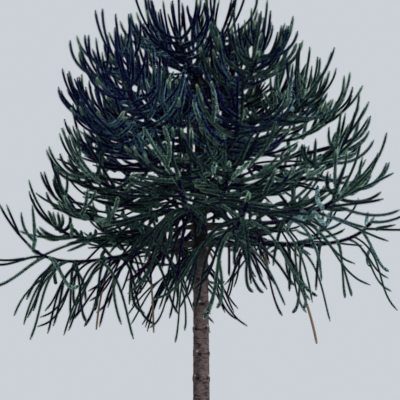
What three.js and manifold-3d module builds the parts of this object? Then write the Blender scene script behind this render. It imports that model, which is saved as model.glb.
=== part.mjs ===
// A monkey puzzle tree, rooted in level ground, as an assembly of trunk, boughs and masses of foliage.
// Millimetres, +Z up. The origin is the centre of the flat cut under the trunk, and the tree is seen from -Y.
// Whorls of limbs stand on one straight trunk. Each limb sags and curls up at its tip, and bears long
// rope-like side shoots that are clad in stiff scale leaves. Every size below follows from the table of
// whorls and a few named rules.

import * as THREE from "three";
import Module from "manifold-3d";
import { mergeVertices } from "three/addons/utils/BufferGeometryUtils.js";

const wasm = await Module();
wasm.setup();

// Trunk: it ends at the foot of the leading shoot. Lost whorls have left rings of scars on its bare part.
const trunk = {
  height: 10650,
  sides: 10,
  footRadius: 212,
  crownRadius: 188,
  crownHeight: 5000,
  topRadius: 46,
  topPower: 1.2,
  flare: 130,
  flareHeight: 230,
  flareRings: [0, 70, 180, 380],
  lean: -90,
  ringSwell: 10,
  ringHalfWidth: 70,
  firstRing: 550,
  ringSpacing: 620,
};

// Whorls from the lowest up. turn is the azimuth of the first limb, counted from +X towards +Y. rise is the
// limb's slope at the trunk, sag how far it dips on the way and curl how far its tip bends up, in degrees,
// the later the greater its power. Towards +X limbs are longer by the share skew and steeper by tilt. hang is
// how far side shoots droop, over 1 where they do so up to the tip, and spacing the limb's length to each
// node.
const whorlKeys = [
  "height", "limbs", "turn", "length", "rise", "sag", "curl", "power", "skew", "tilt", "hang", "spacing",
];
const whorlTable = [
  [5200, 4, 10, 4850, 0, 4, 58, 5, 0.01, 8, 2.2, 420],
  [5700, 5, -36, 4250, -1, 9, 46, 3, 0.08, 6, 0.8, 330],
  [6240, 5, -14, 4100, -6, 14, 50, 2.2, 0.05, 3, 0.5, 280],
  [6820, 6, 24, 3750, -9, 10, 56, 2.2, 0.08, 2, 0.4, 280],
  [7400, 6, -14, 3800, -6, 10, 62, 2.2, 0.1, 0, 0.25, 260],
  [7980, 6, 12, 3750, 0, 10, 58, 2.2, 0.04, 0, 0.15, 260],
  [8520, 5, 4, 3350, 2, 8, 50, 2.2, 0.04, 0, 0, 250],
  [9040, 4, 30, 2750, 4, 6, 40, 2.2, 0.03, 0, 0, 220],
  [9520, 4, 70, 2100, 6, 0, 30, 2.2, 0, 0, 0, 200],
  [9980, 4, 22, 1450, 14, 0, 30, 2.2, 0, 0, 0, 190],
];
const whorls = whorlTable.map((row) => Object.fromEntries(row.map((value, i) => [whorlKeys[i], value])));

// The leading shoot carries its side shoots all round, each a golden angle on from the last
const leader = {
  length: 1200,
  steps: 6,
  azimuth: 90,
  slope: 87,
  laterals: 7,
  firstAt: 0.12,
  lastAt: 0.8,
  turn: 137.5,
  longest: 980,
  shortening: 0.8,
  riseAtRoot: 30,
  riseAtTip: 84,
};

// Limbs: how they differ from each other, and the bare boughs that the lowest whorls begin with. Where a
// whorl hangs, its nodes are further apart towards +X by spacingSkew. A share of shoots is lacking, thinAbove
// where they rise and thinBelow where they hang, more of them towards thinBearing by thinSkew, and there they
// hang more by hangSkew.
const limbRule = {
  turnJitter: 9,
  lengthJitter: 0.06,
  slopeJitter: 4,
  heightJitter: 50,
  sway: 8,
  steps: 24,
  bareWhorls: 2,
  bareShare: 0.17,
  boughRadius: 66,
  boughTipRadius: 44,
  boughSides: 6,
  boughRings: 3,
  spacingSkew: 0.28,
  thinAbove: 0.06,
  thinBelow: 0.22,
  thinSkew: 0.85,
  thinBearing: -45,
  hangSkew: 0.5,
};

// Side shoots: each node has one to either side, a little apart along the limb, and every other node one on
// top. Nodes crowd towards the limb's tip, and shoots get shorter there. spread and sweep are their angles
// from the limb's heading at their root and tip, rise and hang those from the level, and the jitters set them
// apart from each other. hangSpread is the sweep of a hanging shoot, and hangTurn how much more it turns.
// A mass holds the shoots that reach furthest from the trunk, solidTips, and one of every solidEvery others.
const lateralRule = {
  solidTips: 3,
  solidEvery: 11,
  firstAt: 0.09,
  bareMargin: 0.02,
  lastAt: 0.97,
  crowding: 1.18,
  stagger: 0.25,
  placeJitter: 0.2,
  firstKey: 10,
  keysPerNode: 4,
  keyStep: 200,
  longest: 1900,
  shortest: 1250,
  hangLongest: 2400,
  hangShortest: 1850,
  lengthPower: 1.5,
  lengthJitter: 0.22,
  spread: 76,
  sweep: 42,
  turnJitter: 22,
  riseAtRoot: 2,
  riseOnTop: 46,
  riseAtTip: 84,
  riseInside: 0.7,
  riseJitter: 17,
  jitterKept: 0.5,
  hangAtRoot: -10,
  hangAtTip: -68,
  hangSpread: 88,
  hangTurn: 1.6,
  hangBend: 0.72,
  bendJitter: 0.3,
  hangFade: 2.2,
  steps: 10,
  keptLength: 320,
};

// Shoots: a slim three-sided core, with whorls of three scale leaves that stand out of it
const shootRule = {
  sides: 3,
  coreRadius: 42,
  leafRadius: 68,
  tipShare: 0.72,
  leafStep: 16,
  whorlSpacing: 650,
  lateralScale: 0.84,
  rootLead: 60,
  halfTurn: 60,
  twist: 37,
  tipLength: 70,
};

const clearance = 0.4; // between solids that bear on each other
const ownSpace = 160; // how much nearer its own limb than any other a side shoot stays
const nearlyUpright = 0.05; // sine of the angle from the vertical under which a ring takes its turn from +X

const rad = THREE.MathUtils.degToRad;
const lerp = THREE.MathUtils.lerp;
const clamp = THREE.MathUtils.clamp;

// A repeatable number from -1 to 1 for a whorl, a limb and a third key
function chance(whorl, limb, key) {
  const wave = Math.sin(whorl * 127.1 + limb * 311.7 + key * 74.7) * 43758.5453;
  return 2 * (wave - Math.floor(wave)) - 1;
}

function direction(azimuth, slope) {
  const [a, b] = [rad(azimuth), rad(slope)];
  return new THREE.Vector3(Math.cos(b) * Math.cos(a), Math.cos(b) * Math.sin(a), Math.sin(b));
}

function trunkRadius(z) {
  const flare = trunk.flare * Math.exp(-z / trunk.flareHeight);
  if (z <= trunk.crownHeight) return lerp(trunk.footRadius, trunk.crownRadius, z / trunk.crownHeight) + flare;
  const up = (z - trunk.crownHeight) / (trunk.height - trunk.crownHeight);
  return lerp(trunk.crownRadius, trunk.topRadius, up ** trunk.topPower);
}

function trunkAxis(z) {
  return new THREE.Vector3(trunk.lean * (z / trunk.height) ** 2, 0, z);
}

// A line is grown in equal steps, each in the direction that the rule gives for its share of the way
function grow(start, length, steps, rule) {
  const points = [start.clone()];
  for (let i = 0; i < steps; i++) {
    const step = rule((i + 0.5) / steps).multiplyScalar(length / steps);
    points.push(points[i].clone().add(step));
  }
  return points;
}

function limbLine(limb) {
  return grow(trunkAxis(limb.height), limb.length, limbRule.steps, (share) =>
    direction(
      limb.azimuth + limb.sway * Math.sin(Math.PI * share),
      limb.rise - limb.sag * Math.sin(Math.PI * share) + limb.curl * share ** limb.power,
    ),
  );
}

function makeLimbs() {
  const limbs = [];
  whorls.forEach((whorl, w) => {
    for (let i = 0; i < whorl.limbs; i++) {
      const azimuth = whorl.turn + (360 / whorl.limbs) * i + limbRule.turnJitter * chance(w, i, 1);
      const side = Math.cos(rad(azimuth));
      const away = Math.cos(rad(azimuth - limbRule.thinBearing));
      const low = Math.min(whorl.hang, 1);
      const limb = {
        ...whorl,
        name: `whorl${w + 1}_${i + 1}`,
        whorl: w,
        index: i,
        height: whorl.height + limbRule.heightJitter * chance(w, i, 5),
        azimuth,
        length: whorl.length * (1 + whorl.skew * side) * (1 + limbRule.lengthJitter * chance(w, i, 2)),
        rise: whorl.rise + whorl.tilt * side + limbRule.slopeJitter * chance(w, i, 3),
        spacing: whorl.spacing * (1 + limbRule.spacingSkew * low * side),
        thin: lerp(limbRule.thinAbove, limbRule.thinBelow, low) * (1 + limbRule.thinSkew * away),
        hang: whorl.hang * (1 + limbRule.hangSkew * Math.max(away, 0)),
        sway: limbRule.sway * chance(w, i, 4),
        bare: w < limbRule.bareWhorls ? limbRule.bareShare : 0,
      };
      limb.line = limbLine(limb);
      limb.curve = new THREE.CatmullRomCurve3(limb.line);
      limbs.push(limb);
    }
  });
  return limbs;
}

// Side shoots of a limb. Each leaves its node sideways, or upwards, and turns forwards. The ones near the tip
// rise, and those further back hang where their whorl does.
function limbLaterals(limb) {
  const laterals = [];
  const r = lateralRule;
  const from = Math.max(r.firstAt, limb.bare + r.bareMargin) * limb.length;
  const to = r.lastAt * limb.length;
  const nodes = Math.floor((to - from) / limb.spacing) + 1;
  for (let node = 0; node < nodes; node++) {
    for (const side of [-1, 1, 0]) {
      const key = r.firstKey + node * r.keysPerNode + side;
      const luck = (n) => chance(limb.whorl, limb.index, key + n * r.keyStep);
      const place = node + r.stagger * side + r.placeJitter * luck(4);
      const at = lerp(to, from, clamp(place / nodes, 0, 1) ** r.crowding) / limb.length;
      const hang = clamp(limb.hang * r.hangFade * (1 - at), 0, 1);
      if ((side === 0 && node % 2 === 1) || (luck(5) + 1) / 2 < limb.thin) continue;
      const heading = limb.azimuth + limb.sway * Math.sin(Math.PI * at);
      const turn = r.turnJitter * luck(0) * (1 + r.hangTurn * hang);
      const sweep = lerp(r.sweep, r.hangSpread, hang);
      const tilt = r.riseJitter * luck(1);
      const bend = Math.PI * (r.hangBend + r.bendJitter * luck(3));
      const lift = lerp(r.riseInside, 1, at);
      const rise = side === 0 ? r.riseOnTop : r.riseAtRoot;
      const longest = lerp(r.longest, r.hangLongest, hang);
      const shortest = lerp(r.shortest, r.hangShortest, hang);
      const reach = lerp(longest, shortest, at ** r.lengthPower);
      const rule = (share) => {
        const up = lerp(rise, r.riseAtTip, share) * lift;
        const down = lerp(r.hangAtRoot, r.hangAtTip, Math.sin(bend * share));
        const slope = lerp(up, down, hang) + tilt * (1 - r.jitterKept * share);
        return direction(heading + side * lerp(r.spread, sweep, share) + turn, slope);
      };
      const length = reach * (1 + r.lengthJitter * luck(2));
      const line = grow(limb.curve.getPointAt(at), length, r.steps, rule);
      laterals.push({ at, line });
    }
  }
  return laterals;
}

function leaderLaterals(limb) {
  const laterals = [];
  for (let node = 0; node < leader.laterals; node++) {
    const at = lerp(leader.firstAt, leader.lastAt, node / leader.laterals);
    const azimuth = leader.turn * node + lateralRule.turnJitter * chance(whorls.length, 0, node);
    const length = leader.longest * (1 - leader.shortening * at);
    const rule = (share) => direction(azimuth, lerp(leader.riseAtRoot, leader.riseAtTip, share));
    const line = grow(limb.curve.getPointAt(at), length, lateralRule.steps, rule);
    laterals.push({ at, line });
  }
  return laterals;
}

// A side shoot keeps to the space nearest its own limb. It is cut where it would leave that, and is left out
// where too little of it stays.
function keepToSpace(lateral, limb, limbs) {
  const kept = [lateral.line[0]];
  for (const point of lateral.line.slice(1)) {
    const own = Math.min(...limb.line.map((p) => p.distanceTo(point)));
    const crowds = (p) => p.distanceTo(point) < own + ownSpace;
    const near = limbs.some((other) => other !== limb && other.line.some(crowds));
    const axis = trunkAxis(point.z);
    const byTrunk = point.z < trunk.height && point.distanceTo(axis) < trunkRadius(point.z) + ownSpace;
    if (near || byTrunk) break;
    kept.push(point);
  }
  const length = kept[0].distanceTo(lateral.line[1]) * (kept.length - 1);
  return { ...lateral, line: kept, kept: length >= lateralRule.keptLength };
}

// A closed skin over rings of equal count. The last ring may be a single point.
function skin(rings) {
  const faces = [];
  const first = [0];
  rings.forEach((ring) => first.push(first[first.length - 1] + ring.length));
  const sides = rings[0].length;
  for (let i = 1; i < sides - 1; i++) faces.push(0, i + 1, i);
  for (let r = 0; r + 1 < rings.length; r++) {
    for (let i = 0; i < sides; i++) {
      const j = (i + 1) % sides;
      const [a, b] = [first[r] + i, first[r] + j];
      if (rings[r + 1].length === 1) {
        faces.push(a, b, first[r + 1]);
      } else {
        const [c, d] = [first[r + 1] + i, first[r + 1] + j];
        faces.push(a, b, c, b, d, c);
      }
    }
  }
  const last = first[rings.length - 1];
  if (rings[rings.length - 1].length > 1) {
    for (let i = 1; i < sides - 1; i++) faces.push(last, last + i, last + i + 1);
  }
  const geometry = new THREE.BufferGeometry();
  const places = rings.flat().flatMap((p) => [p.x, p.y, p.z]);
  geometry.setAttribute("position", new THREE.Float32BufferAttribute(places, 3));
  geometry.setIndex(faces);
  return geometry;
}

function solidOf(geometry) {
  const merged = mergeVertices(geometry, 1e-3);
  return new wasm.Manifold(
    new wasm.Mesh({
      numProp: 3,
      vertProperties: merged.getAttribute("position").array,
      triVerts: new Uint32Array(merged.index.array),
    }),
  );
}

function geometryOf(solid) {
  const mesh = solid.getMesh();
  const geometry = new THREE.BufferGeometry();
  geometry.setAttribute("position", new THREE.BufferAttribute(mesh.vertProperties, mesh.numProp));
  geometry.setIndex(new THREE.BufferAttribute(mesh.triVerts, 1));
  return geometry.toNonIndexed();
}

// One ring round a line, square to it, with its corners turned by an angle in degrees
function ring(centre, along, radius, sides, turn) {
  const across = new THREE.Vector3(0, 0, 1).cross(along);
  if (across.length() < nearlyUpright) across.set(1, 0, 0);
  across.normalize();
  const up = along.clone().cross(across).normalize();
  return Array.from({ length: sides }, (_, i) => {
    const angle = rad(turn + (360 / sides) * i);
    return centre
      .clone()
      .addScaledVector(across, radius * Math.cos(angle))
      .addScaledVector(up, radius * Math.sin(angle));
  });
}

// The trunk stands on a flat cut. A ring of scars swells it at each lost whorl, a collar at each living one.
function trunkSolid(extra) {
  const stations = trunk.flareRings.map((z) => [z, 0]);
  const swell = (z) => {
    stations.push([z - trunk.ringHalfWidth, 0], [z, trunk.ringSwell], [z + trunk.ringHalfWidth, 0]);
  };
  const lastRing = whorls[0].height - trunk.ringSpacing / 2;
  for (let z = trunk.firstRing; z < lastRing; z += trunk.ringSpacing) swell(z);
  whorls.forEach((whorl) => stations.push([whorl.height, trunk.ringSwell]));
  stations.push([trunk.height, 0]);
  const rings = stations.map(([z, stand]) => {
    const past = z === trunk.height ? extra : z === 0 ? -extra : 0;
    const centre = trunkAxis(z).add(new THREE.Vector3(0, 0, past));
    return ring(centre, new THREE.Vector3(0, 0, 1), trunkRadius(z) + stand + extra, trunk.sides, 0);
  });
  return solidOf(skin(rings));
}

// Bare wood of a limb, from inside the trunk to where its foliage begins
function boughSolid(limb) {
  const rings = [];
  for (let i = 0; i <= limbRule.boughRings; i++) {
    const share = i / limbRule.boughRings;
    const at = limb.bare * share;
    const radius = lerp(limbRule.boughRadius, limbRule.boughTipRadius, share);
    rings.push(ring(limb.curve.getPointAt(at), limb.curve.getTangentAt(at), radius, limbRule.boughSides, 0));
  }
  return solidOf(skin(rings));
}

// A shoot clad in scale leaves, from the first of its stations to its pointed tip. At each further station a
// wide ring of leaf tips stands just behind a narrow ring of core. Stations are shares of the curve's length.
function shootSolid(curve, stations, scale) {
  const step = shootRule.leafStep / curve.getLength();
  const at = (share, radius, turn) =>
    ring(curve.getPointAt(share), curve.getTangentAt(share), radius, shootRule.sides, turn);
  const rings = [at(stations[0], shootRule.coreRadius * scale, 0)];
  stations.slice(1).forEach((share, i) => {
    const thin = lerp(1, shootRule.tipShare, share) * scale;
    const turn = shootRule.halfTurn + shootRule.twist * i;
    rings.push(at(share - step, shootRule.leafRadius * thin, turn));
    const inner = turn + shootRule.halfTurn;
    if (i < stations.length - 2) rings.push(at(share, shootRule.coreRadius * thin, inner));
  });
  rings.push([curve.getPointAt(1)]);
  return solidOf(skin(rings));
}

function lateralSolid(lateral) {
  const curve = new THREE.CatmullRomCurve3(lateral.line);
  const length = curve.getLength();
  const count = Math.max(1, Math.round(length / shootRule.whorlSpacing));
  const last = 1 - shootRule.tipLength / length;
  const stations = Array.from({ length: count + 1 }, (_, i) => (last * i) / count);
  return shootSolid(curve, stations, shootRule.lateralScale);
}

// A mass is a limb's clad length with its side shoots, and has a whorl of leaves behind each of their roots.
// The space round the trunk is cut out of it, and slivers that this parts from it are dropped.
function massSolid(limb, laterals, cutter) {
  const lead = shootRule.rootLead / limb.length;
  const whorlsAt = laterals.map((lateral) => lateral.at - lead).sort((a, b) => a - b);
  let solid = shootSolid(limb.curve, [limb.from, ...new Set(whorlsAt)], 1);
  for (const lateral of laterals) {
    if (lateral.kept) solid = solid.add(lateralSolid(lateral));
  }
  const bodies = solid.subtract(cutter).decompose();
  return bodies.sort((a, b) => b.volume() - a.volume())[0];
}

const materials = {
  bark: new THREE.MeshStandardMaterial({ color: 0x6a5d57, roughness: 0.95, metalness: 0 }),
  boughBark: new THREE.MeshStandardMaterial({ color: 0x4d463e, roughness: 0.95, metalness: 0 }),
  foliage: new THREE.MeshStandardMaterial({ color: 0x1f3a26, roughness: 0.7, metalness: 0 }),
};

function named(name, solid, material) {
  const mesh = new THREE.Mesh(geometryOf(solid), material);
  mesh.name = name;
  return mesh;
}

const tree = new THREE.Group();
tree.add(named("trunk", trunkSolid(0), materials.bark));

const limbs = makeLimbs();
const top = {
  from: 0,
  length: leader.length,
  line: grow(trunkAxis(trunk.height + clearance), leader.length, leader.steps, () =>
    direction(leader.azimuth, leader.slope),
  ),
};
top.curve = new THREE.CatmullRomCurve3(top.line);
const all = [...limbs, top];
const aroundTrunk = trunkSolid(clearance);

for (const limb of limbs) {
  if (limb.bare > 0) {
    tree.add(named(`bough_${limb.name}`, boughSolid(limb).subtract(aroundTrunk), materials.boughBark));
  }
  limb.from = limb.bare > 0 ? limb.bare + clearance / limb.length : 0;
  const reach = ({ line }) => Math.hypot(line[line.length - 1].x, line[line.length - 1].y);
  const laterals = limbLaterals(limb)
    .map((lateral) => keepToSpace(lateral, limb, all))
    .filter(({ kept }) => kept)
    .sort((a, b) => reach(b) - reach(a))
    .filter((_, place) => place < lateralRule.solidTips || place % lateralRule.solidEvery === 0);
  tree.add(named(`foliage_${limb.name}`, massSolid(limb, laterals, aroundTrunk), materials.foliage));
}
const topLaterals = leaderLaterals(top).map((lateral) => keepToSpace(lateral, top, all));
tree.add(named("foliage_leader", massSolid(top, topLaterals, aroundTrunk), materials.foliage));

export default tree;
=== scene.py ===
import math

import bpy
import numpy as np
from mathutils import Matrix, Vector, noise


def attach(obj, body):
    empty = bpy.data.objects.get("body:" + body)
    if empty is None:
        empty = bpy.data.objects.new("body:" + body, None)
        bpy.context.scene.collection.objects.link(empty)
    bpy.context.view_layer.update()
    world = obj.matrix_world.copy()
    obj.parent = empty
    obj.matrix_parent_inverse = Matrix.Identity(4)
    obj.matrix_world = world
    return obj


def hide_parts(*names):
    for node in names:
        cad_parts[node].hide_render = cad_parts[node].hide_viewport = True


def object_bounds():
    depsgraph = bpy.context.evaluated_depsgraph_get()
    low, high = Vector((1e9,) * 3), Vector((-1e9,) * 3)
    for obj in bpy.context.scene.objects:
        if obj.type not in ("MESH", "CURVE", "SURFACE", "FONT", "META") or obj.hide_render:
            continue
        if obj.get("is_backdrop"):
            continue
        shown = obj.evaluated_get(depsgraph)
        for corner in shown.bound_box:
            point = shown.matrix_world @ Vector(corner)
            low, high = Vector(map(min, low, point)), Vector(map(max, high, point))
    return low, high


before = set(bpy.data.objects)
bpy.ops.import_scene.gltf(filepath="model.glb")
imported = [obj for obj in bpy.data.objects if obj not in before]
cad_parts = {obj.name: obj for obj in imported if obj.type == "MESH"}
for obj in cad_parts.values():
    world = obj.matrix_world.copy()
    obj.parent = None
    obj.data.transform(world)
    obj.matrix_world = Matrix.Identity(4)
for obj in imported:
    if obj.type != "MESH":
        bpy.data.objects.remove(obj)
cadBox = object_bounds()
scene = bpy.context.scene
nodeNames = sorted(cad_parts)
print("frame: %d nodes" % len(nodeNames))


# A socket in an expression. Its operators add Math nodes to the tree.
class Wire:
    def __init__(self, tree, socket):
        self.tree = tree
        self.socket = socket

    def maths(self, operation, a, b):
        return self.tree.add("ShaderNodeMath", {"operation": operation}, {0: a, 1: b})

    def __add__(self, other):
        return self.maths("ADD", self, other)

    def __radd__(self, other):
        return self.maths("ADD", other, self)

    def __sub__(self, other):
        return self.maths("SUBTRACT", self, other)

    def __rsub__(self, other):
        return self.maths("SUBTRACT", other, self)

    def __mul__(self, other):
        return self.maths("MULTIPLY", self, other)

    def __rmul__(self, other):
        return self.maths("MULTIPLY", other, self)

    def __gt__(self, other):
        return self.maths("GREATER_THAN", self, other)

    def __lt__(self, other):
        return self.maths("LESS_THAN", self, other)


# A node tree, of a material or of Geometry Nodes. add makes any node: settings first, then inputs.
class Tree:
    def __init__(self, nodeTree):
        self.nodeTree = nodeTree

    def add(self, kind, settings, inputs, output=0):
        node = self.nodeTree.nodes.new(kind)
        for name, value in settings.items():
            if name == "stops":
                for stop, (place, colour) in zip(node.color_ramp.elements, value):
                    stop.position = place
                    stop.color = colour
            else:
                setattr(node, name, value)
        for key, value in inputs.items():
            if isinstance(value, Wire):
                self.nodeTree.links.new(value.socket, node.inputs[key])
            else:
                node.inputs[key].default_value = value
        return Wire(self, node.outputs[output]) if node.outputs else None


def srgb(red, green, blue):
    return tuple((channel / 255) ** 2.2 for channel in (red, green, blue)) + (1,)


def plainMaterial(name, values):
    material = bpy.data.materials.new(name)
    material.use_nodes = True
    shader = material.node_tree.nodes["Principled BSDF"]
    for socket, value in values.items():
        shader.inputs[socket].default_value = value
    return material


# camera: at the photo's place, at eye height, looking up at the crown
shot = {
    "distance": 22.0,
    "aside": -0.035,
    "eyeHeight": 1.6,
    "pitch": 12.2,
    "focalPixels": 864,
    "framePixels": 400,
    "sensor": 36.0,
    "clipEnd": 400,
}

cameraData = bpy.data.cameras.new("camera")
cameraData.sensor_width = shot["sensor"]
cameraData.lens = shot["sensor"] * shot["focalPixels"] / shot["framePixels"]
cameraData.clip_end = shot["clipEnd"]
camera = bpy.data.objects.new("camera", cameraData)
camera.location = (shot["aside"], -shot["distance"], shot["eyeHeight"])
camera.rotation_euler = (math.radians(90 + shot["pitch"]), 0, 0)
scene.collection.objects.link(camera)
scene.camera = camera

# the tree's form: the same rule as the solids follow, in metres and degrees
trunk = {
    "height": 10.65,
    "footRadius": 0.212,
    "crownRadius": 0.188,
    "crownHeight": 5.0,
    "topRadius": 0.046,
    "topPower": 1.2,
    "flare": 0.13,
    "flareHeight": 0.23,
    "lean": -0.09,
    "firstRing": 0.55,
    "ringSpacing": 0.62,
}
whorlKeys = (
    "height", "limbs", "turn", "length", "rise", "sag", "curl", "power", "skew", "tilt", "hang", "spacing"
)
whorlTable = (
    (5.2, 4, 10, 4.85, 0, 4, 58, 5, 0.01, 8, 2.2, 0.42),
    (5.7, 5, -36, 4.25, -1, 9, 46, 3, 0.08, 6, 0.8, 0.33),
    (6.24, 5, -14, 4.1, -6, 14, 50, 2.2, 0.05, 3, 0.5, 0.28),
    (6.82, 6, 24, 3.75, -9, 10, 56, 2.2, 0.08, 2, 0.4, 0.28),
    (7.40, 6, -14, 3.8, -6, 10, 62, 2.2, 0.1, 0, 0.25, 0.26),
    (7.98, 6, 12, 3.75, 0, 10, 58, 2.2, 0.04, 0, 0.15, 0.26),
    (8.52, 5, 4, 3.35, 2, 8, 50, 2.2, 0.04, 0, 0, 0.25),
    (9.04, 4, 30, 2.75, 4, 6, 40, 2.2, 0.03, 0, 0, 0.22),
    (9.52, 4, 70, 2.10, 6, 0, 30, 2.2, 0, 0, 0, 0.2),
    (9.98, 4, 22, 1.45, 14, 0, 30, 2.2, 0, 0, 0, 0.19),
)
whorls = [dict(zip(whorlKeys, row)) for row in whorlTable]
leader = {
    "length": 1.2,
    "steps": 6,
    "azimuth": 90,
    "slope": 87,
    "laterals": 7,
    "firstAt": 0.12,
    "lastAt": 0.8,
    "turn": 137.5,
    "longest": 0.98,
    "shortening": 0.8,
    "riseAtRoot": 30,
    "riseAtTip": 84,
}
limbRule = {
    "drawKeys": (1, 2, 3, 4, 5),
    "turnJitter": 9,
    "lengthJitter": 0.06,
    "slopeJitter": 4,
    "heightJitter": 0.05,
    "sway": 8,
    "steps": 24,
    "bareWhorls": 2,
    "bareShare": 0.17,
    "spacingSkew": 0.28,
    "thinAbove": 0.06,
    "thinBelow": 0.22,
    "thinSkew": 0.85,
    "thinBearing": -45,
    "hangSkew": 0.5,
}
lateralRule = {
    "firstAt": 0.09,
    "bareMargin": 0.02,
    "lastAt": 0.97,
    "crowding": 1.18,
    "stagger": 0.25,
    "placeJitter": 0.2,
    "firstKey": 10,
    "keysPerNode": 4,
    "keyStep": 200,
    "longest": 1.9,
    "shortest": 1.25,
    "hangLongest": 2.4,
    "hangShortest": 1.85,
    "lengthPower": 1.5,
    "lengthJitter": 0.22,
    "spread": 76,
    "sweep": 42,
    "turnJitter": 22,
    "riseAtRoot": 2,
    "riseOnTop": 46,
    "riseAtTip": 84,
    "riseInside": 0.7,
    "riseJitter": 17,
    "jitterKept": 0.5,
    "hangAtRoot": -10,
    "hangAtTip": -68,
    "hangSpread": 88,
    "hangTurn": 1.6,
    "hangBend": 0.72,
    "bendJitter": 0.3,
    "hangFade": 2.2,
    "steps": 10,
    "keptLength": 0.32,
    "ownSpace": -0.35,
    "trunkSpace": 0.06,
}
drawFactors = {"whorl": 127.1, "limb": 311.7, "key": 74.7, "wave": 43758.5453}


def lerp(a, b, share):
    return a + (b - a) * share


def clamp(value, low, high):
    return max(low, min(high, value))


# a number from -1 to 1, always the same for the same whorl, limb and key
def chance(whorl, limb, key):
    turn = whorl * drawFactors["whorl"] + limb * drawFactors["limb"] + key * drawFactors["key"]
    wave = math.sin(turn) * drawFactors["wave"]
    return 2 * (wave - math.floor(wave)) - 1


def direction(azimuth, slope):
    turn = math.radians(azimuth)
    rise = math.radians(slope)
    return Vector((math.cos(rise) * math.cos(turn), math.cos(rise) * math.sin(turn), math.sin(rise)))


def trunkRadius(z):
    flare = trunk["flare"] * math.exp(-z / trunk["flareHeight"])
    if z <= trunk["crownHeight"]:
        return lerp(trunk["footRadius"], trunk["crownRadius"], z / trunk["crownHeight"]) + flare
    up = (z - trunk["crownHeight"]) / (trunk["height"] - trunk["crownHeight"])
    return lerp(trunk["crownRadius"], trunk["topRadius"], min(up, 1) ** trunk["topPower"])


def trunkAxis(z):
    return Vector((trunk["lean"] * (z / trunk["height"]) ** 2, 0, z))


def grow(start, length, steps, bearing):
    points = [start.copy()]
    for i in range(steps):
        points.append(points[-1] + bearing((i + 0.5) / steps) * (length / steps))
    return points


def pointAt(line, share):
    place = clamp(share, 0, 1) * (len(line) - 1)
    i = min(int(place), len(line) - 2)
    return line[i].lerp(line[i + 1], place - i)


def headingAt(line, share, step):
    return (pointAt(line, share + step) - pointAt(line, share - step)).normalized()


def lengthOf(line):
    return sum((b - a).length for a, b in zip(line, line[1:]))


def limbLine(limb):
    def bearing(share):
        swing = math.sin(math.pi * share)
        slope = limb["rise"] - limb["sag"] * swing + limb["curl"] * share ** limb["power"]
        return direction(limb["azimuth"] + limb["sway"] * swing, slope)

    return grow(trunkAxis(limb["height"]), limb["length"], limbRule["steps"], bearing)


def makeLimbs():
    rule = limbRule
    limbs = []
    for number, whorl in enumerate(whorls):
        for index in range(whorl["limbs"]):
            turned, longer, steeper, swayed, higher = (
                chance(number, index, key) for key in rule["drawKeys"]
            )
            azimuth = whorl["turn"] + 360 / whorl["limbs"] * index + rule["turnJitter"] * turned
            side = math.cos(math.radians(azimuth))
            away = math.cos(math.radians(azimuth - rule["thinBearing"]))
            low = min(whorl["hang"], 1)
            limb = dict(whorl)
            limb["name"] = "whorl%d_%d" % (number + 1, index + 1)
            limb["whorl"] = number
            limb["index"] = index
            limb["azimuth"] = azimuth
            limb["side"] = side
            limb["height"] += rule["heightJitter"] * higher
            limb["length"] *= (1 + whorl["skew"] * side) * (1 + rule["lengthJitter"] * longer)
            limb["rise"] += whorl["tilt"] * side + rule["slopeJitter"] * steeper
            limb["sway"] = rule["sway"] * swayed
            limb["spacing"] *= 1 + rule["spacingSkew"] * low * side
            limb["thin"] = lerp(rule["thinAbove"], rule["thinBelow"], low) * (1 + rule["thinSkew"] * away)
            limb["hang"] = whorl["hang"] * (1 + rule["hangSkew"] * max(away, 0))
            limb["bare"] = rule["bareShare"] if number < rule["bareWhorls"] else 0
            limb["line"] = limbLine(limb)
            limbs.append(limb)
    return limbs


# side shoots: one to either side of each node and one on top of every other, hanging where the whorl hangs
def limbLaterals(limb):
    rule = lateralRule
    laterals = []
    start = max(rule["firstAt"], limb["bare"] + rule["bareMargin"]) * limb["length"]
    end = rule["lastAt"] * limb["length"]
    nodes = int((end - start) / limb["spacing"]) + 1
    for node in range(nodes):
        for side in (-1, 1, 0):
            key = rule["firstKey"] + node * rule["keysPerNode"] + side
            turned, tilted, longer, bent, shifted, kept = (
                chance(limb["whorl"], limb["index"], key + n * rule["keyStep"]) for n in range(6)
            )
            place = node + rule["stagger"] * side + rule["placeJitter"] * shifted
            at = lerp(end, start, clamp(place / nodes, 0, 1) ** rule["crowding"]) / limb["length"]
            hang = clamp(limb["hang"] * rule["hangFade"] * (1 - at), 0, 1)
            if (side == 0 and node % 2) or (kept + 1) / 2 < limb["thin"]:
                continue
            heading = limb["azimuth"] + limb["sway"] * math.sin(math.pi * at)
            turn = rule["turnJitter"] * turned * (1 + rule["hangTurn"] * hang)
            sweep = lerp(rule["sweep"], rule["hangSpread"], hang)
            tilt = rule["riseJitter"] * tilted
            bend = math.pi * (rule["hangBend"] + rule["bendJitter"] * bent)
            lift = lerp(rule["riseInside"], 1, at)
            rise = rule["riseAtRoot"] if side else rule["riseOnTop"]
            longest = lerp(rule["longest"], rule["hangLongest"], hang)
            shortest = lerp(rule["shortest"], rule["hangShortest"], hang)
            reach = lerp(longest, shortest, at ** rule["lengthPower"])

            def bearing(share):
                up = lerp(rise, rule["riseAtTip"], share) * lift
                down = lerp(rule["hangAtRoot"], rule["hangAtTip"], math.sin(bend * share))
                slope = lerp(up, down, hang) + tilt * (1 - rule["jitterKept"] * share)
                return direction(heading + side * lerp(rule["spread"], sweep, share) + turn, slope)

            length = reach * (1 + rule["lengthJitter"] * longer)
            line = grow(pointAt(limb["line"], at), length, rule["steps"], bearing)
            laterals.append({"line": line, "length": length, "key": key, "hang": hang, "at": at})
    return laterals


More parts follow.
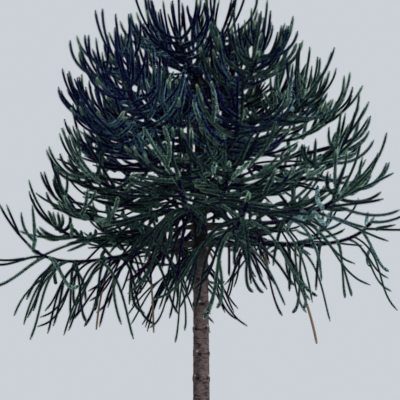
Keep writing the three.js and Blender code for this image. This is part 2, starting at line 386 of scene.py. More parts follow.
def leaderLaterals(limb):
    laterals = []
    for node in range(leader["laterals"]):
        at = lerp(leader["firstAt"], leader["lastAt"], node / leader["laterals"])
        azimuth = leader["turn"] * node + lateralRule["turnJitter"] * chance(len(whorls), 0, node)
        length = leader["longest"] * (1 - leader["shortening"] * at)

        def bearing(share):
            return direction(azimuth, lerp(leader["riseAtRoot"], leader["riseAtTip"], share))

        line = grow(pointAt(limb["line"], at), length, lateralRule["steps"], bearing)
        laterals.append({"line": line, "length": length, "key": node, "hang": 0, "at": at})
    return laterals


# cuts a side shoot where it would leave the space of its own limb or reach the trunk,
# and tells whether enough of it is left
def keepToSpace(lateral, number, limbPoints):
    points = np.array([tuple(point) for point in lateral["line"]])
    gaps = np.linalg.norm(limbPoints[:, :, None, :] - points[None, None, :, :], axis=3).min(axis=1)
    own = gaps[number].copy()
    gaps[number] = np.inf
    crowded = gaps.min(axis=0) < own + lateralRule["ownSpace"]
    kept = [lateral["line"][0]]
    for point, near in zip(lateral["line"][1:], crowded[1:]):
        apart = (point - trunkAxis(point.z)).length
        if near or (point.z < trunk["height"] and apart < trunkRadius(point.z) + lateralRule["trunkSpace"]):
            break
        kept.append(point)
    step = lateral["length"] / lateralRule["steps"]
    lateral["line"] = kept
    lateral["length"] = step * (len(kept) - 1)
    return lateral["length"] >= lateralRule["keptLength"]


limbs = makeLimbs()
top = {
    "name": "leader",
    "whorl": len(whorls),
    "index": 0,
    "bare": 0,
    "length": leader["length"],
    "line": grow(
        trunkAxis(trunk["height"]),
        leader["length"],
        leader["steps"],
        lambda share: direction(leader["azimuth"], leader["slope"]),
    ),
}
everyLimb = limbs + [top]
limbPoints = np.array([
    [tuple(pointAt(limb["line"], i / limbRule["steps"])) for i in range(limbRule["steps"] + 1)]
    for limb in everyLimb
])
for number, limb in enumerate(everyLimb):
    found = leaderLaterals(limb) if limb is top else limbLaterals(limb)
    limb["laterals"] = [lateral for lateral in found if keepToSpace(lateral, number, limbPoints)]
print("limbs: %d, side shoots: %d, %.0f m" % (
    len(limbs),
    sum(len(limb["laterals"]) for limb in everyLimb),
    sum(lateral["length"] for limb in everyLimb for lateral in limb["laterals"]),
))

# bark: mottled, with painted shade in furrows, in scar pits and inside the crown, pale on the callus by lost
# limbs
barkFinish = {
    "light": srgb(101, 87, 86),
    "dark": srgb(22, 17, 24),
    # painted shade in the pits of limb scars
    "paintedPitShade": srgb(22, 17, 18),
    "callus": srgb(168, 158, 150),
    # the boughs' bark is darker than the trunk's, partly as painted shade inside the crown
    "boughLight": srgb(52, 50, 48),
    "boughDark": srgb(24, 24, 28),
    "darkAt": 0.34,
    "lightAt": 0.56,
    "grainStretch": (1, 1, 1.1),
    "broadScale": 6.0,
    "broadDetail": 5,
    "broadShare": 0.55,
    "fineScale": 60.0,
    "fineDetail": 3,
    "fineShare": 0.45,
    "bump": 0.5,
    "bumpHeight": 0.01,
    "roughness": 0.8,
    "roughnessRange": 0.18,
    "specular": 0.25,
    "shadeFrom": 4.1,
    "shadeTo": 5.1,
    "shade": srgb(9, 8, 14),
}


def barkMaterial(name, light, dark, scarred):
    finish = barkFinish
    material = bpy.data.materials.new(name)
    material.use_nodes = True
    material.node_tree.nodes.clear()
    tree = Tree(material.node_tree)
    place = tree.add("ShaderNodeTexCoord", {}, {}, "Object")
    stretched = tree.add("ShaderNodeMapping", {}, {"Vector": place, "Scale": finish["grainStretch"]})

    def grain(scale, detail):
        return tree.add("ShaderNodeTexNoise", {}, {"Vector": stretched, "Scale": scale, "Detail": detail})

    def mixed(colour, tint, amount):
        return tree.add("ShaderNodeMix", {"data_type": "RGBA"}, {0: amount, 6: colour, 7: tint}, 2)

    broad = grain(finish["broadScale"], finish["broadDetail"])
    fine = grain(finish["fineScale"], finish["fineDetail"])
    mottle = broad * finish["broadShare"] + fine * finish["fineShare"]
    stops = ((finish["darkAt"], dark), (finish["lightAt"], light))
    colour = tree.add("ShaderNodeValToRGB", {"stops": stops}, {"Fac": mottle})
    if scarred:
        # painted shade in furrows and scar pits, and the pale callus
        for mask, tint in (("paintedFurrowShade", "dark"), ("paintedPitShade", "paintedPitShade"), ("callus", "callus")):
            amount = tree.add("ShaderNodeAttribute", {"attribute_name": mask}, {}, "Fac")
            colour = mixed(colour, finish[tint], amount)
        # painted shade of the crown: the bark darkens up the trunk from shadeFrom to shadeTo
        height = tree.add("ShaderNodeSeparateXYZ", {}, {0: place}, "Z")
        shade = tree.add("ShaderNodeMapRange", {}, {0: height, 1: finish["shadeFrom"], 2: finish["shadeTo"]})
        colour = mixed(colour, finish["shade"], shade)
    bump = {"Height": fine, "Strength": finish["bump"], "Distance": finish["bumpHeight"]}
    shader = tree.add(
        "ShaderNodeBsdfPrincipled",
        {},
        {
            "Base Color": colour,
            "Roughness": finish["roughness"] + finish["roughnessRange"] * broad,
            "Normal": tree.add("ShaderNodeBump", {}, bump),
            "Specular IOR Level": finish["specular"],
        },
    )
    tree.add("ShaderNodeOutputMaterial", {}, {"Surface": shader})
    return material


trunkMaterial = barkMaterial("trunk bark", barkFinish["light"], barkFinish["dark"], True)
boughMaterial = barkMaterial("bough bark", barkFinish["boughLight"], barkFinish["boughDark"], False)


def meshObject(name, vertices, faces, material):
    mesh = bpy.data.meshes.new(name)
    mesh.from_pydata(vertices, [], faces)
    mesh.polygons.foreach_set("use_smooth", [True] * len(mesh.polygons))
    mesh.materials.append(material)
    mesh.update()
    piece = bpy.data.objects.new(name, mesh)
    scene.collection.objects.link(piece)
    return piece


def paint(piece, name, values):
    attribute = piece.data.attributes.new(name, "FLOAT", "POINT")
    attribute.data.foreach_set("value", values)


# the walls and both ends of a tube whose rings of vertices begin at first
def tubeFaces(rings, sides, first=0):
    faces = []
    for ring in range(rings - 1):
        low = first + ring * sides
        high = low + sides
        for i in range(sides):
            j = (i + 1) % sides
            faces.append((low + i, low + j, high + j, high + i))
    faces.append(tuple(first + i for i in reversed(range(sides))))
    faces.append(tuple(first + (rings - 1) * sides + i for i in range(sides)))
    return faces


# trunk: bark relief, rings with the scars of lost limbs, collars at the living whorls, lobes at the foot
trunkBark = {
    "sides": 90,
    "rowBelow": 0.009,
    "rowAbove": 0.03,
    "fineRowsPast": 0.3,
    "fold": 0.006,
    "foldScale": (5, 12),  # across and along the trunk
    "wrinkle": 0.005,
    "wrinkleScale": (9, 34),
    "furrowShade": 1.5,
    "foldShade": 0.4,
    "darkestFurrow": 0.85,
    "ringSwell": 0.011,
    "ringHalfWidth": 0.045,
    "collarSwell": 0.02,
    "collarHalfWidth": 0.09,
    "front": -90,
    "scars": 5,  # on each ring
    "scarKeys": (50, 51, 52),
    "scarTurns": (25, 62, 8, 20, 2, -22, 14),  # one for each ring, from the front
    "scarTurnJitter": 9,
    "scarHeightJitter": 0.02,
    "wideRing": 5,
    "wideShare": 1.7,
    "scarWide": 0.06,
    "scarHigh": 0.044,
    "scarDeep": 0.034,
    "scarFall": 1.5,
    "scarRows": 0.2,
    "scarEdge": 4,
    "lip": 0.012,
    "lipAt": 1.3,
    "lipFall": 4,
    "pitShade": 1.5,
    "pitFade": 1.2,
    "callusFrom": -0.2,
    "callusRightFrom": 0.4,
    "callusUp": 1.6,
    "callusHigh": 0.01,
    "callusSize": 0.034,
    "callusShade": 1.6,
    "callusFade": 1.4,
    "lobes": 5,
    "lobeShare": 0.3,
    "lobePhase": 1,
    "lobesTo": 1.5,
}


def scarsOfTrunk(rings):
    bark = trunkBark
    scars = []
    spot = 360 / bark["scars"]
    for ring, (z, turn) in enumerate(zip(rings, bark["scarTurns"])):
        for i in range(bark["scars"]):
            turned, higher, luck = (chance(ring, i, key) for key in bark["scarKeys"])
            azimuth = bark["front"] + turn + spot * (i + 0.5) + bark["scarTurnJitter"] * turned
            scars.append({
                "height": z + bark["scarHeightJitter"] * higher,
                "angle": math.radians(azimuth),
                "wide": bark["scarWide"] * (bark["wideShare"] if ring == bark["wideRing"] else 1),
                "luck": luck,
            })
    return scars


# how far a scar lifts a spot of the bark, and how much of the spot gets painted shade in the scar's pit and
# pale callus
def scarAt(scar, angle, radius, z):
    bark = trunkBark
    across = math.remainder(angle - scar["angle"], 2 * math.pi) * radius
    up = z - scar["height"]
    away = math.hypot(across / scar["wide"], up / bark["scarHigh"])
    if away > bark["scarEdge"]:
        return 0, 0, 0
    lift = bark["lip"] * math.exp(-bark["lipFall"] * (away - bark["lipAt"]) ** 2)
    lift -= bark["scarDeep"] * math.exp(-bark["scarFall"] * away**2)
    # painted shade in the scar's dip
    paintedPitShade = clamp(bark["pitShade"] - bark["pitFade"] * away, 0, 1)
    if scar["luck"] <= bark["callusFrom"]:
        return lift, paintedPitShade, 0
    beside = bark["scarWide"] * (1 if scar["luck"] > bark["callusRightFrom"] else -1)
    gap = math.hypot(across - beside, up - bark["callusUp"] * bark["scarHigh"]) / bark["callusSize"]
    lift += bark["callusHigh"] * math.exp(-gap * gap)
    return lift, paintedPitShade, clamp(bark["callusShade"] - bark["callusFade"] * gap, 0, 1)


def swellingAt(z, heights, swell, halfWidth):
    return sum(swell * math.exp(-(((z - height) / halfWidth) ** 2)) for height in heights)


def barkNoise(place, z, scale):
    across, along = scale
    return noise.noise(Vector((place.x * across, place.y * across, z * along)))


def trunkPiece():
    bark = trunkBark
    rows = list(np.arange(0, trunk["crownHeight"] + bark["fineRowsPast"], bark["rowBelow"]))
    rows += list(np.arange(rows[-1] + bark["rowAbove"], trunk["height"], bark["rowAbove"]))
    rows.append(trunk["height"])
    angles = np.arange(bark["sides"]) * 2 * math.pi / bark["sides"]
    rings = [trunk["firstRing"] + i * trunk["ringSpacing"] for i in range(len(bark["scarTurns"]))]
    collars = [whorl["height"] for whorl in whorls]
    scars = scarsOfTrunk(rings)
    vertices = []
    masks = {"paintedPitShade": [], "callus": [], "paintedFurrowShade": []}
    for z in rows:
        axis = trunkAxis(z)
        radius = trunkRadius(z)
        flare = radius - trunkRadius(bark["lobesTo"]) if z < bark["lobesTo"] else 0
        swell = swellingAt(z, rings, bark["ringSwell"], bark["ringHalfWidth"])
        swell += swellingAt(z, collars, bark["collarSwell"], bark["collarHalfWidth"])
        near = [scar for scar in scars if abs(scar["height"] - z) < bark["scarRows"]]
        for angle in angles:
            out = Vector((math.cos(angle), math.sin(angle), 0))
            place = out * radius + axis
            fold = barkNoise(place, z, bark["foldScale"])
            wrinkle = barkNoise(place, z, bark["wrinkleScale"])
            stand = swell + flare * bark["lobeShare"] * math.sin(bark["lobes"] * angle + bark["lobePhase"])
            stand += bark["fold"] * fold + bark["wrinkle"] * wrinkle
            paintedPitShade = 0
            callus = 0
            for scar in near:
                lift, dark, pale = scarAt(scar, angle, radius, z)
                stand += lift
                paintedPitShade = max(paintedPitShade, dark)
                callus = max(callus, pale)
            vertices.append(place + out * stand)
            masks["paintedPitShade"].append(paintedPitShade)
            masks["callus"].append(callus)
            # painted shade where the bark's relief dips into furrows
            paintedFurrowShade = -bark["furrowShade"] * (wrinkle + bark["foldShade"] * fold)
            masks["paintedFurrowShade"].append(clamp(paintedFurrowShade, 0, bark["darkestFurrow"]))
    piece = meshObject("trunk_bark_relief", vertices, tubeFaces(len(rows), bark["sides"]), trunkMaterial)
    for name, values in masks.items():
        paint(piece, name, values)
    return piece


trunkBarkPiece = trunkPiece()
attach(trunkBarkPiece, "root")
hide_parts("trunk")
print("trunk: %d faces" % len(trunkBarkPiece.data.polygons))

# boughs: the wood of every limb, bare near the trunk in the lowest whorls and inside the leaves further out
boughBark = {
    "sides": 9,
    "step": 0.05,
    "start": 0.5,  # of the trunk's radius
    "end": 0.985,
    "headingStep": 0.02,
    "footRadius": 0.066,
    "bareEndRadius": 0.044,
    "tipRadius": 0.012,
    "taperPower": 0.8,
    "upperShare": 0.72,
    "upperLength": 4.4,
    "upperOffset": 0.3,
    "collar": 0.03,
    "collarLength": 0.12,
    "knots": 0.006,
    "knotScale": 7,
    "relief": 0.005,
    "reliefScale": 18,
    "fullRelief": 0.04,
    "leastRelief": 0.2,
}


def limbRadius(limb, at):
    bark = boughBark
    bend = limbRule["bareShare"]
    if at < bend:
        radius = lerp(bark["footRadius"], bark["bareEndRadius"], at / bend)
    else:
        taper = ((at - bend) / (1 - bend)) ** bark["taperPower"]
        radius = lerp(bark["bareEndRadius"], bark["tipRadius"], taper)
    if limb["bare"]:
        return radius
    # the upper limbs are thinner, and more so where they are short
    size = clamp(limb["length"] / bark["upperLength"] - bark["upperOffset"], 0, 1)
    return radius * lerp(bark["upperShare"], 1, size)


def boughPiece():
    bark = boughBark
    vertices, faces = [], []
    for limb in limbs:
        inside = trunkRadius(limb["height"])
        start = inside * bark["start"] / limb["length"]
        steps = int(limb["length"] * (1 - start) / bark["step"])
        first = len(vertices)
        for i in range(steps + 1):
            at = lerp(start, bark["end"], i / steps)
            centre = pointAt(limb["line"], at)
            along = headingAt(limb["line"], at, bark["headingStep"])
            across = along.cross(Vector((0, 0, 1))).normalized()
            up = across.cross(along)
            outside = max(at * limb["length"] - inside, 0)
            radius = limbRadius(limb, at) + bark["collar"] * math.exp(-outside / bark["collarLength"])
            relief = clamp(radius / bark["fullRelief"], bark["leastRelief"], 1)
            for k in range(bark["sides"]):
                angle = 2 * math.pi * k / bark["sides"]
                out = across * math.cos(angle) + up * math.sin(angle)
                place = centre + out * radius
                rough = bark["relief"] * noise.noise(place * bark["reliefScale"])
                rough += bark["knots"] * noise.noise(place * bark["knotScale"])
                vertices.append(centre + out * (radius + rough * relief))
        faces += tubeFaces(steps + 1, bark["sides"], first)
    return meshObject("bough_bark_relief", vertices, faces, boughMaterial)


boughBarkPiece = boughPiece()
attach(boughBarkPiece, "root")
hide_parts(*[n for n in nodeNames if n.startswith("bough_")])
print("boughs: %d faces" % len(boughBarkPiece.data.polygons))

# shoots: every limb and side shoot as a line that leaves and twig wood follow, with its leaf size and tint
shootForm = {
    "lineStep": 0.06,
    "limbPoints": 20,
    "limbLeafStart": 0.06,
    "bareMargin": 0.01,
    "limbSize": 1.6,
    "limbTipSize": 1.4,
    "shootSize": 1.28,
    "tipSize": 1.16,
    "hangGirth": 0.86,
    "greenWhorls": 4,
    "greenSide": 0.5,
    "greenMix": 0.5,
    "greenKey": 500,
    # painted light and shade: these make tints lighter on limbs to the sides and the right and darker on
    # those to the front and back
    "light": 0.42,
    "lightFront": -0.35,
    "lightSide": 0.5,
    "lightKey": 400,
    "paleFrom": 0.95,
    "sageFrom": 0.3,
    "midFrom": 0.1,
    # painted shade: shoots this near the trunk take the dark tint
    "innerAt": 0.34,
    "innerJitter": 0.16,
    "deadLeaf": 0.9,
    "deadLean": 40,
    "lean": 70,
    "tipLean": 16,
    "tipTaper": 0.06,
    "tipShrink": 0.25,
    "coreTaper": 0.09,
    "coreLeast": 0.1,
    "freshLength": 0.2,
    "freshShare": 0.35,
    "freshHang": 0.3,
    "freshFactor": 7,
    "forkFrom": 0.9,
    "forkShare": 0.5,
    "forkAt": 0.34,
    "forkAtJitter": 0.12,
    "forkEnd": 0.96,
    "forkHeadingStep": 0.04,
    "forkLength": 0.55,
    "forkSpread": 55,
    "forkRise": 6,
    "forkSteps": 6,
    "forkKey": 1500,
}
# tints lie along a scale, and a leaf takes the highest one whose bound it passes once it is speckled
tints = {"dead": -5, "green": -2, "dark": -1, "blue": 0, "mid": 1, "pale": 2, "sage": 3, "fresh": 6}
tintBounds = {
    "dead": -9,
    "green": -3.5,
    "dark": -1.5,
    "blue": -0.5,
    "mid": 0.5,
    "pale": 1.5,
    "sage": 2.5,
    "fresh": 4.5,
}
# the twig wood colour of shoots from each of these tints up, also painted shade on their leaf feet and
# shaded leaves
woodAndShadeOf = {"dead": "dead", "green": "greenCoreShade", "dark": "deep", "blue": "core", "pale": "lit"}
woodAndShadeNames = tuple(woodAndShadeOf.values())
shootAttributes = ("size", "core", "lean", "tint")


def smoothLine(line, step):
    # Catmull-Rom through the points, at about even steps
    count = max(2, round(lengthOf(line) / step))
    ends = [line[0] * 2 - line[1]] + list(line) + [line[-1] * 2 - line[-2]]
    smooth = []
    for n in range(count + 1):
        place = n / count * (len(line) - 1)
        i = min(int(place), len(line) - 2)
        t = place - i
        a, b, c, d = ends[i : i + 4]
        straight = 2 * b + (c - a) * t
        bent = straight + (2 * a - 5 * b + 4 * c - d) * t * t
        smooth.append(0.5 * (bent + (3 * b - a - 3 * c + d) * t**3))
    return smooth


def shootLine(line, size, tipSize, tint, fresh=False):
    form = shootForm
    points = smoothLine(line, form["lineStep"])
    length = lengthOf(points)
    shoot = {"points": points, **{name: [] for name in shootAttributes}}
    for n in range(len(points)):
        share = n / (len(points) - 1)
        left = (1 - share) * length
        close = clamp(1 - left / form["tipTaper"], 0, 1)
        girth = lerp(size, tipSize, share)
        shoot["size"].append(girth * (1 - form["tipShrink"] * close))
        shoot["core"].append(girth * clamp(left / form["coreTaper"], form["coreLeast"], 1))
        shoot["lean"].append(math.radians(lerp(form["lean"], form["tipLean"], close)))
        shoot["tint"].append(tints["fresh" if fresh and left < form["freshLength"] else tint])
    return shoot


# painted light and shade: shoots near the trunk take the dark tint, shoots of limbs that point towards or
# away from the camera darker tints, and shoots to the sides and to the right, towards the key light, lighter
# ones
def lateralTint(limb, lateral):
    form = shootForm
    if limb is top:
        return "mid"
    luck = chance(limb["whorl"], limb["index"], lateral["key"] + form["lightKey"])
    if lateral["at"] < form["innerAt"] + form["innerJitter"] * luck:
        return "dark"
    light = luck + lerp(form["lightFront"], form["light"], abs(limb["side"]))
    light += form["lightSide"] * limb["side"]
    if light > form["paleFrom"]:
        return "pale"
    greener = chance(limb["whorl"], limb["index"], lateral["key"] + form["greenKey"])
    green = limb["side"] + form["greenMix"] * greener > form["greenSide"]
    if green or limb["whorl"] < form["greenWhorls"]:
        return "sage" if light > form["sageFrom"] else "green"
    return "mid" if light > form["midFrom"] else "blue"


# shoots that hang from the lowest limbs, dead and brown beyond a share of their length
hangerKeys = ("limb", "at", "azimuth", "from", "to", "length", "deadFrom", "size")
hangerTable = (
    ("whorl1_1", 0.33, -60, -70, -84, 0.95, 0.1, 1.3),
    ("whorl1_1", 0.415, 20, -56, -80, 2.75, 0.5, 1.3),
    ("whorl1_3", 0.52, -120, -62, -84, 1.9, 0.35, 1),
    ("whorl1_3", 0.31, -60, -74, -86, 2.1, 0.4, 1),
    ("whorl1_3", 0.24, 20, -50, -70, 1.8, 1.1, 0.9),
    ("whorl1_1", 0.07, -60, -30, -60, 0.4, 0, 1.2),
    ("whorl1_4", 0.08, 0, -50, -70, 0.5, 0, 1.2),
)


def hangerLines(limb):
    lines = []
    for row in hangerTable:
        hanger = dict(zip(hangerKeys, row))
        if hanger["limb"] != limb["name"]:
            continue

        def bearing(share):
            return direction(hanger["azimuth"], lerp(hanger["from"], hanger["to"], share))

        line = grow(pointAt(limb["line"], hanger["at"]), hanger["length"], lateralRule["steps"], bearing)
        shoot = shootLine(line, hanger["size"], hanger["size"], "blue")
        count = len(shoot["points"])
        for n in range(int(hanger["deadFrom"] * count), count):
            shoot["tint"][n] = tints["dead"]
            shoot["size"][n] *= shootForm["deadLeaf"]
            shoot["lean"][n] = math.radians(shootForm["deadLean"])
        lines.append(shoot)
    return lines


# a second twig that parts from a side shoot and runs beside it
def forkOf(lateral, luck):
    form = shootForm
    begin = form["forkAt"] + form["forkAtJitter"] * luck / form["forkShare"]
    side = 1 if luck > 0 else -1

    def bearing(share):
        along = headingAt(lateral["line"], lerp(begin, form["forkEnd"], share), form["forkHeadingStep"])
        azimuth = math.degrees(math.atan2(along.y, along.x))
        slope = math.degrees(math.asin(along.z))
        return direction(azimuth + side * form["forkSpread"] * (1 - share), slope + form["forkRise"])

    length = lateral["length"] * form["forkLength"]
    return grow(pointAt(lateral["line"], begin), length, form["forkSteps"], bearing)


def linesOf(limb):
    form = shootForm
    if limb is top:
        begin = 0
    elif limb["bare"]:
        begin = limb["bare"] + form["bareMargin"]
    else:
        begin = form["limbLeafStart"]
    count = form["limbPoints"]
    own = [pointAt(limb["line"], lerp(begin, 1, i / count)) for i in range(count + 1)]
    # painted shade: the limb's own leaves take the dark tint
    lines = [shootLine(own, form["limbSize"], form["limbTipSize"], "dark", True)] + hangerLines(limb)
    for lateral in limb["laterals"]:
        tint = lateralTint(limb, lateral)
        luck = chance(limb["whorl"], limb["index"], lateral["key"] + form["forkKey"])
        fresh = luck * form["freshFactor"] % 1 < form["freshShare"] and lateral["hang"] < form["freshHang"]
        girth = lerp(1, form["hangGirth"], lateral["hang"])
        twigs = [lateral["line"]]
        if lateral["length"] > form["forkFrom"] and abs(luck) < form["forkShare"]:
            twigs.append(forkOf(lateral, luck))
        for twig in twigs:
            lines.append(shootLine(twig, form["shootSize"] * girth, form["tipSize"] * girth, tint, fresh))
    return lines


whorlLines = {}
for limb in everyLimb:
    whorlLines.setdefault(limb["whorl"], []).extend(linesOf(limb))


def linesObject(name, lines):
    vertices, edges = [], []
    for line in lines:
        first = len(vertices)
        vertices += line["points"]
        edges += [(n, n + 1) for n in range(first, len(vertices) - 1)]
    mesh = bpy.data.meshes.new(name)
    mesh.from_pydata(vertices, edges, [])
    piece = bpy.data.objects.new(name, mesh)
    for attribute in shootAttributes:
        paint(piece, attribute, [value for line in lines for value in line[attribute]])
    scene.collection.objects.link(piece)
    return piece


# leaf: a stiff pointed scale that stands along +Z and faces +X, in one triangle up to its widest place
# and one beyond it, which the attribute outer marks
leafForm = {
    "length": 0.05,
    "width": 0.026,
    "wideAt": 0.62,
    "fold": 0.003,
    "foot": 0.012,
    "perMetre": 200,
    "turn": 137.508,
    "speckle": 0.85,
    "seed": 0,
    "shadedAbove": 0.4,
}


def leafObject():
    form = leafForm
    side = form["width"] / 2
    wide = form["length"] * form["wideAt"]
    edge = form["foot"] - form["fold"]
    root = (form["foot"], 0, 0)
    tip = (form["foot"], 0, form["length"])
    mesh = bpy.data.meshes.new("leaf")
    mesh.from_pydata([root, (edge, -side, wide), (edge, side, wide), tip], [], [(0, 2, 1), (1, 2, 3)])
    outer = mesh.attributes.new("outer", "FLOAT", "FACE")
    outer.data.foreach_set("value", (0, 1))
    leaf = bpy.data.objects.new("leaf", mesh)
    scene.collection.objects.link(leaf)
    return leaf


# colour and roughness; the last five also colour the twig wood; dark and all of the last five but dead are
# painted shade
leafFinish = {
    "green": (srgb(80, 116, 103), 0.5),
    "dark": (srgb(38, 22, 66), 0.5),
    "blue": (srgb(96, 144, 168), 0.5),
    "mid": (srgb(122, 172, 188), 0.5),
    "sage": (srgb(146, 188, 166), 0.5),
    "pale": (srgb(172, 208, 208), 0.5),
    "fresh": (srgb(134, 166, 144), 0.5),
    "core": (srgb(22, 20, 60), 0.8),
    "lit": (srgb(40, 60, 56), 0.6),
    "greenCoreShade": (srgb(24, 32, 44), 0.8),
    "deep": (srgb(30, 8, 46), 0.8),
    "dead": (srgb(132, 108, 94), 0.8),
}
leafShine = {
    "Specular IOR Level": 0.2,
    "Sheen Weight": 0.2,
    "Sheen Roughness": 0.3,
    "Sheen Tint": (0.66, 0.76, 0.9, 1),
}
woodAndShadeShine = {"Specular IOR Level": 0}


def leafMaterial(name):
    colour, roughness = leafFinish[name]
    shine = woodAndShadeShine if name in woodAndShadeNames else leafShine
    return plainMaterial("leaf " + name, {"Base Color": colour, "Roughness": roughness, **shine})


leafMaterials = {name: leafMaterial(name) for name in leafFinish}


# a Geometry Nodes tree with named inputs, the wires from them, and their identifiers
def newGroup(name, sockets):
    group = bpy.data.node_groups.new(name, "GeometryNodeTree")
    group.interface.new_socket("Geometry", in_out="OUTPUT", socket_type="NodeSocketGeometry")
    keys = {}
    for socket, kind in {"Geometry": "Geometry", **sockets}.items():
        made = group.interface.new_socket(socket, in_out="INPUT", socket_type="NodeSocket" + kind)
        keys[socket] = made.identifier
    tree = Tree(group)
    inputs = group.nodes.new("NodeGroupInput").outputs
    return tree, {socket.name: Wire(tree, socket) for socket in inputs if socket.name}, keys


def attributeWire(tree, name):
    return tree.add("GeometryNodeInputNamedAttribute", {"data_type": "FLOAT"}, {"Name": name})


# gives each face the last material in names whose tint's bound its hue passes, where the mask is 1
def setMaterials(tree, given, geometry, hue, names, mask=1):
    for tint, name in names.items():
        shown = mask * (hue > tintBounds[tint])
        geometry = tree.add("GeometryNodeSetMaterial", {}, {0: geometry, 1: shown, 2: given[name]})
    return geometry


# leaves in a spiral along every line
def leafGroup():
    form = leafForm
    sockets = {"Leaf": "Object", "Spacing": "Float", "Turn": "Float"}
    sockets.update({name: "Material" for name in leafFinish})
    tree, given, keys = newGroup("leaves in a spiral", sockets)
    curve = tree.add("GeometryNodeMeshToCurve", {}, {0: given["Geometry"]})
    points = tree.add("GeometryNodeCurveToPoints", {"mode": "LENGTH"}, {0: curve, 2: given["Spacing"]})
    tangent = Wire(tree, points.socket.node.outputs["Tangent"])
    index = tree.add("GeometryNodeInputIndex", {}, {})
    turned = tree.add("FunctionNodeAlignRotationToVector", {"axis": "Z"}, {2: tangent})
    for axis, angle in (((0, 0, 1), index * given["Turn"]), ((0, 1, 0), attributeWire(tree, "lean"))):
        more = tree.add("FunctionNodeAxisAngleToRotation", {}, {0: axis, 1: angle})
        turned = tree.add("FunctionNodeRotateRotation", {"rotation_space": "LOCAL"}, {0: turned, 1: more})
    leaf = tree.add("GeometryNodeObjectInfo", {}, {0: given["Leaf"]}, "Geometry")
    leaves = tree.add(
        "GeometryNodeInstanceOnPoints",
        {},
        {"Points": points, "Instance": leaf, "Rotation": turned, "Scale": attributeWire(tree, "size")},
    )
    speckle = {2: -form["speckle"], 3: form["speckle"], "Seed": form["seed"]}
    luck = tree.add("FunctionNodeRandomValue", {}, speckle, 1)
    leaves = tree.add(
        "GeometryNodeStoreNamedAttribute",
        {"data_type": "FLOAT", "domain": "INSTANCE"},
        {0: leaves, "Name": "hue", "Value": attributeWire(tree, "tint") + luck},
    )
    leaves = tree.add("GeometryNodeRealizeInstances", {}, {0: leaves})
    hue = attributeWire(tree, "hue")
    leaves = setMaterials(tree, given, leaves, hue, {name: name for name in tintBounds})
    # painted shade: the wood colour on the foot of every leaf and on all of a shaded one, but not on fresh
    # or dead ones
    plain = (hue > tintBounds["fresh"]) + (hue < tintBounds["green"])
    lit = hue - attributeWire(tree, "tint") < form["shadedAbove"]
    shaded = attributeWire(tree, "outer") * lit + plain < 0.5
    leaves = setMaterials(tree, given, leaves, hue, woodAndShadeOf, shaded)
    tree.add("NodeGroupOutput", {}, {0: leaves})
    return tree.nodeTree, keys


# twig wood under the leaves, tapering with them, in dark colours that are partly painted shade
twigForm = {
    "radius": 0.024,
    "sides": 5,
    "step": 0.1,
}


def twigGroup():
    sockets = {"Radius": "Float", "Sides": "Int", "Step": "Float"}
    sockets.update({name: "Material" for name in woodAndShadeNames})
    tree, given, keys = newGroup("twig wood", sockets)
    lines = tree.add("GeometryNodeMeshToCurve", {}, {0: given["Geometry"]})
    lines = tree.add("GeometryNodeResampleCurve", {"mode": "LENGTH"}, {0: lines, 3: given["Step"]})
    thick = attributeWire(tree, "core") * given["Radius"]
    ring = tree.add("GeometryNodeCurvePrimitiveCircle", {}, {0: given["Sides"], 4: 1.0})
    tube = tree.add("GeometryNodeCurveToMesh", {}, {0: lines, 1: ring, 2: thick, 3: True})
    tube = setMaterials(tree, given, tube, attributeWire(tree, "tint"), woodAndShadeOf)
    tree.add("NodeGroupOutput", {}, {0: tube})
    return tree.nodeTree, keys


# runs a node group on lines and keeps what it makes as a plain mesh
def madeBy(group, keys, name, lines, values):
    source = linesObject(name, lines)
    modifier = source.modifiers.new("shoots", "NODES")
    modifier.node_group = group
    for socket, value in values.items():
        modifier[keys[socket]] = value
    depsgraph = bpy.context.evaluated_depsgraph_get()
    mesh = bpy.data.meshes.new_from_object(source.evaluated_get(depsgraph), depsgraph=depsgraph)
    mesh.name = name
    source.modifiers.clear()
    bpy.data.objects.remove(source)
    for attribute in (*shootAttributes, "outer", "hue"):
        if attribute in mesh.attributes:
            mesh.attributes.remove(mesh.attributes[attribute])
    piece = bpy.data.objects.new(name, mesh)
    scene.collection.objects.link(piece)
    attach(piece, "root")
    return piece


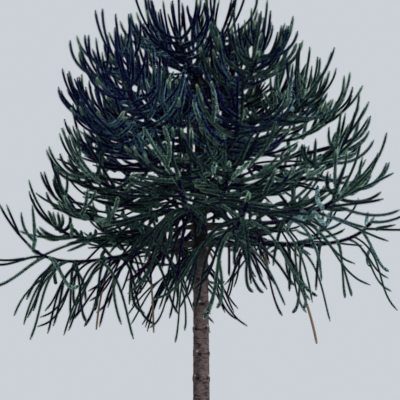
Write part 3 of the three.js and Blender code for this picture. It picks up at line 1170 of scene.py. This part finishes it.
leaf = leafObject()
leaves, leafKeys = leafGroup()
wood, woodKeys = twigGroup()
leafValues = {"Leaf": leaf, "Spacing": 1 / leafForm["perMetre"], "Turn": math.radians(leafForm["turn"])}
leafValues.update(leafMaterials)
woodValues = {"Radius": twigForm["radius"], "Sides": twigForm["sides"], "Step": twigForm["step"]}
woodValues.update({name: leafMaterials[name] for name in woodAndShadeNames})
leafFaces = 0
for whorl, lines in whorlLines.items():
    name = "leader" if whorl == len(whorls) else "whorl%d" % (whorl + 1)
    solids = [n for n in nodeNames if n == "foliage_" + name or n.startswith("foliage_%s_" % name)]
    piece = madeBy(leaves, leafKeys, "leaves_" + name, lines, leafValues)
    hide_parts(*solids)
    madeBy(wood, woodKeys, "twigs_" + name, lines, woodValues)
    leafFaces += len(piece.data.polygons)
    print("%s: %d leaf faces" % (name, len(piece.data.polygons)))
bpy.data.objects.remove(leaf)
print("leaves: %d faces in all" % leafFaces)

# floor, soft studio light and a pale surround
stage = {
    "floorSize": 160,
    "floor": srgb(188, 188, 184),
    "floorRoughness": 0.9,
    "surround": srgb(218, 224, 230),
    "surroundStrength": 0.85,
    "keyStrength": 3.3,
    "keyAngle": 36,
    "keyTurn": (32, 42, 0),
}
bpy.ops.mesh.primitive_plane_add(size=stage["floorSize"])
floor = bpy.context.object
floor.name = "floor"
floorValues = {"Base Color": stage["floor"], "Roughness": stage["floorRoughness"]}
floor.data.materials.append(plainMaterial("floor", floorValues))
floor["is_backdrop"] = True

world = bpy.data.worlds.new("surround")
world.use_nodes = True
background = world.node_tree.nodes["Background"]
background.inputs["Color"].default_value = stage["surround"]
background.inputs["Strength"].default_value = stage["surroundStrength"]
scene.world = world

sun = bpy.data.objects.new("key", bpy.data.lights.new("key", "SUN"))
sun.data.energy = stage["keyStrength"]
sun.data.angle = math.radians(stage["keyAngle"])
sun.rotation_euler = [math.radians(angle) for angle in stage["keyTurn"]]
scene.collection.objects.link(sun)
scene.view_settings.view_transform = "Standard"

boxes = {"cad": cadBox, "visual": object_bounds()}
boxes = {name: [list(corner) for corner in box] for name, box in boxes.items()}
print(boxes)
